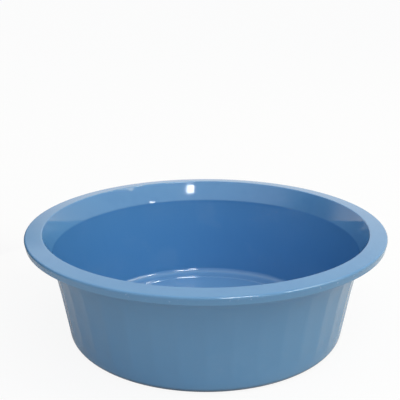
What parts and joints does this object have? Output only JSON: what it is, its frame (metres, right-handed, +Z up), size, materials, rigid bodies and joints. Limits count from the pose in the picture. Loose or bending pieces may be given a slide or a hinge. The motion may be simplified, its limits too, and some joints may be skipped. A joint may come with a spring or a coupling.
{
  "type": "plastic basin",
  "caption": "Round plastic basin with a tapered, softly fluted wall, a flared collar, a flat flanged rim with a turned-down lip and a raised floor panel.",
  "frame": {"origin": "centre of the circle that the basin stands on, at the height of the surface below it", "axes": "+Z up along the basin's axis; +X to the picture's right and +Y away from its camera"},
  "size_m": [0.3598, 0.3598, 0.1119],
  "materials": {
    "basin_plastic": "satin to gloss moulded plastic, dusty blue"
  },
  "bodies": {
    "root": {"turned_down_lip": "basin_plastic", "rim_flange": "basin_plastic", "flared_collar": "basin_plastic", "fluted_wall": "basin_plastic", "heel": "basin_plastic", "standing_foot": "basin_plastic", "floor_panel": "basin_plastic"}
  },
  "joints": []
}
